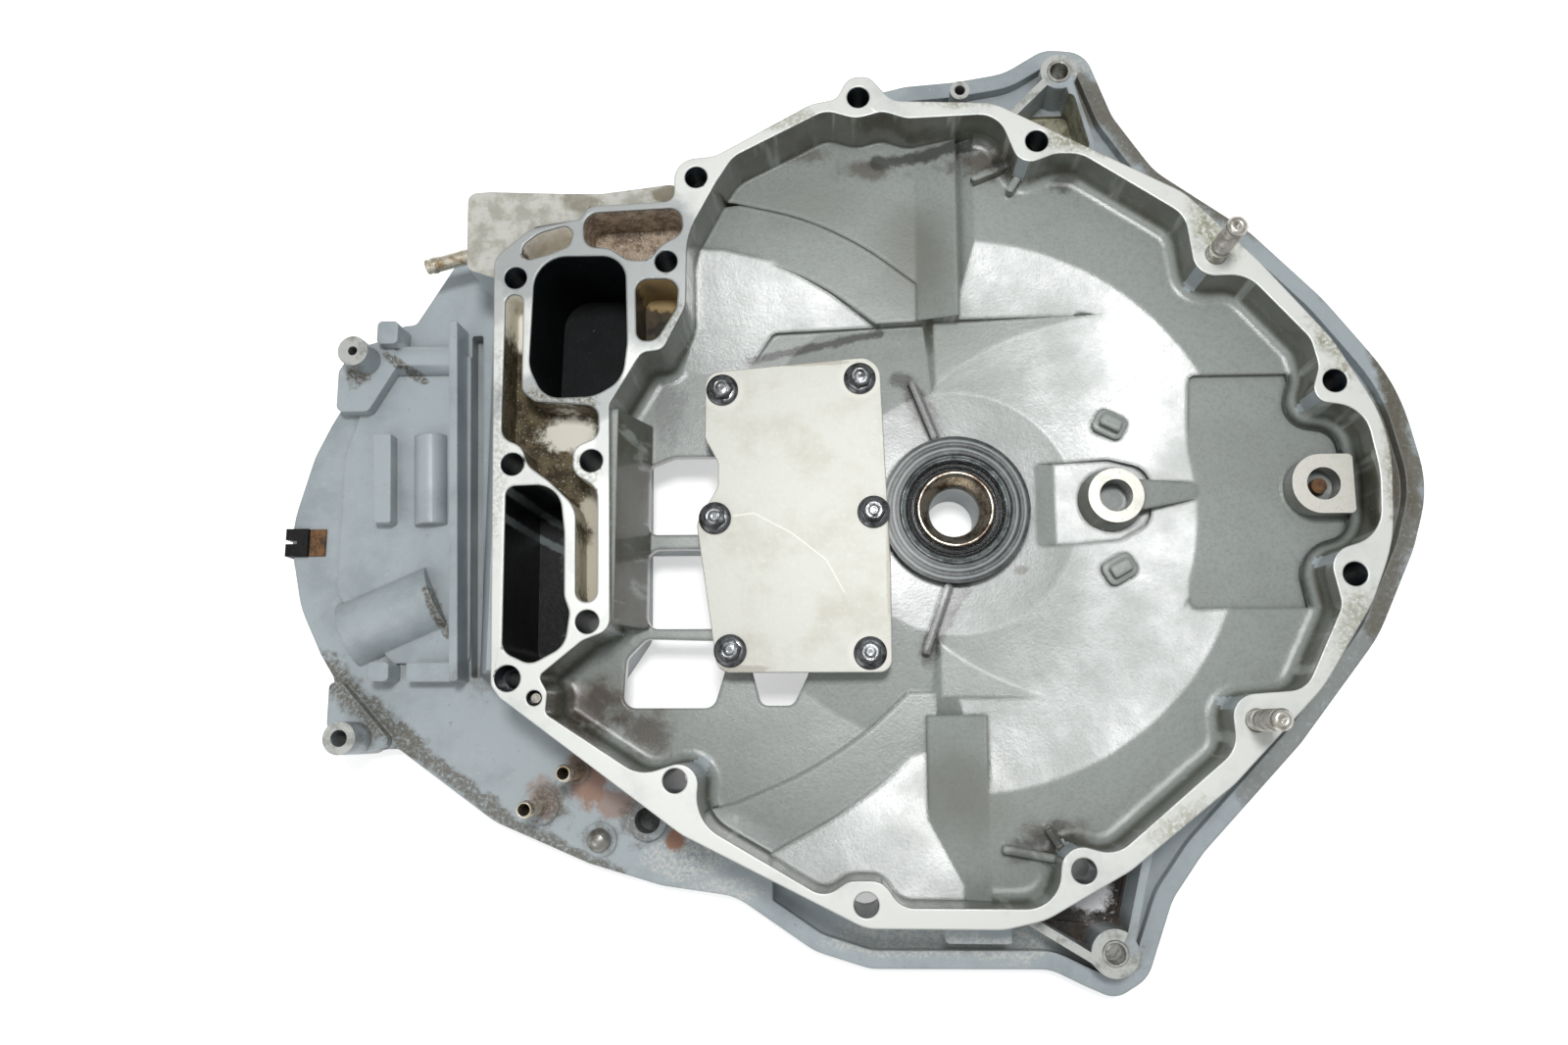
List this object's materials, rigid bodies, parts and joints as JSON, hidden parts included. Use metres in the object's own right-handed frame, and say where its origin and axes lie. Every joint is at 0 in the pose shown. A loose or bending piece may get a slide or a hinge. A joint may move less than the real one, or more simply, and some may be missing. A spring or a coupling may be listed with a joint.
{
  "type": "exhaust adapter plate",
  "caption": "Cast adapter plate between an outboard engine and its oil pan, with a gasket face, port block, oil cavity, bolted cover and driveshaft seal.",
  "frame": {"origin": "on the driveshaft axis, in the face that rests on the engine", "axes": "+Z out of the oil-pan gasket face, +X away from the port block, along the longest side"},
  "size_m": [0.4812, 0.4034, 0.09],
  "materials": {
    "casting": "satin grey paint, machined lands, oil stains",
    "cover": "matte",
    "dark_steel": "oily dark coating",
    "stud_steel": "satin",
    "nipple_metal": "worn plating",
    "plug_metal": "worn plating",
    "seal_steel": "oily",
    "seal_rubber": "oily",
    "sleeve_steel": "polished, oily",
    "bush_steel": "satin",
    "clip_plastic": "matte",
    "rusty_steel": "rusty"
  },
  "bodies": {
    "root": {"adapter_casting": "casting", "cover_plate": "cover", "cover_bolt_1": "dark_steel", "cover_bolt_2": "dark_steel", "cover_bolt_3": "dark_steel", "cover_bolt_4": "dark_steel", "cover_bolt_5": "dark_steel", "cover_bolt_6": "dark_steel", "stud_upper": "stud_steel", "stud_lower": "stud_steel", "nipple_upper": "nipple_metal", "nipple_lower": "nipple_metal", "nipple_side": "nipple_metal", "shelf_plug": "plug_metal", "seal_case": "seal_steel", "seal_rubber": "seal_rubber", "seal_sleeve": "sleeve_steel", "lug_bush_top": "bush_steel", "lug_bush_bottom": "bush_steel", "rim_clip": "clip_plastic", "rim_clip_tongue": "rusty_steel", "locating_pin": "stud_steel", "pad_bolt": "rusty_steel"}
  },
  "joints": []
}
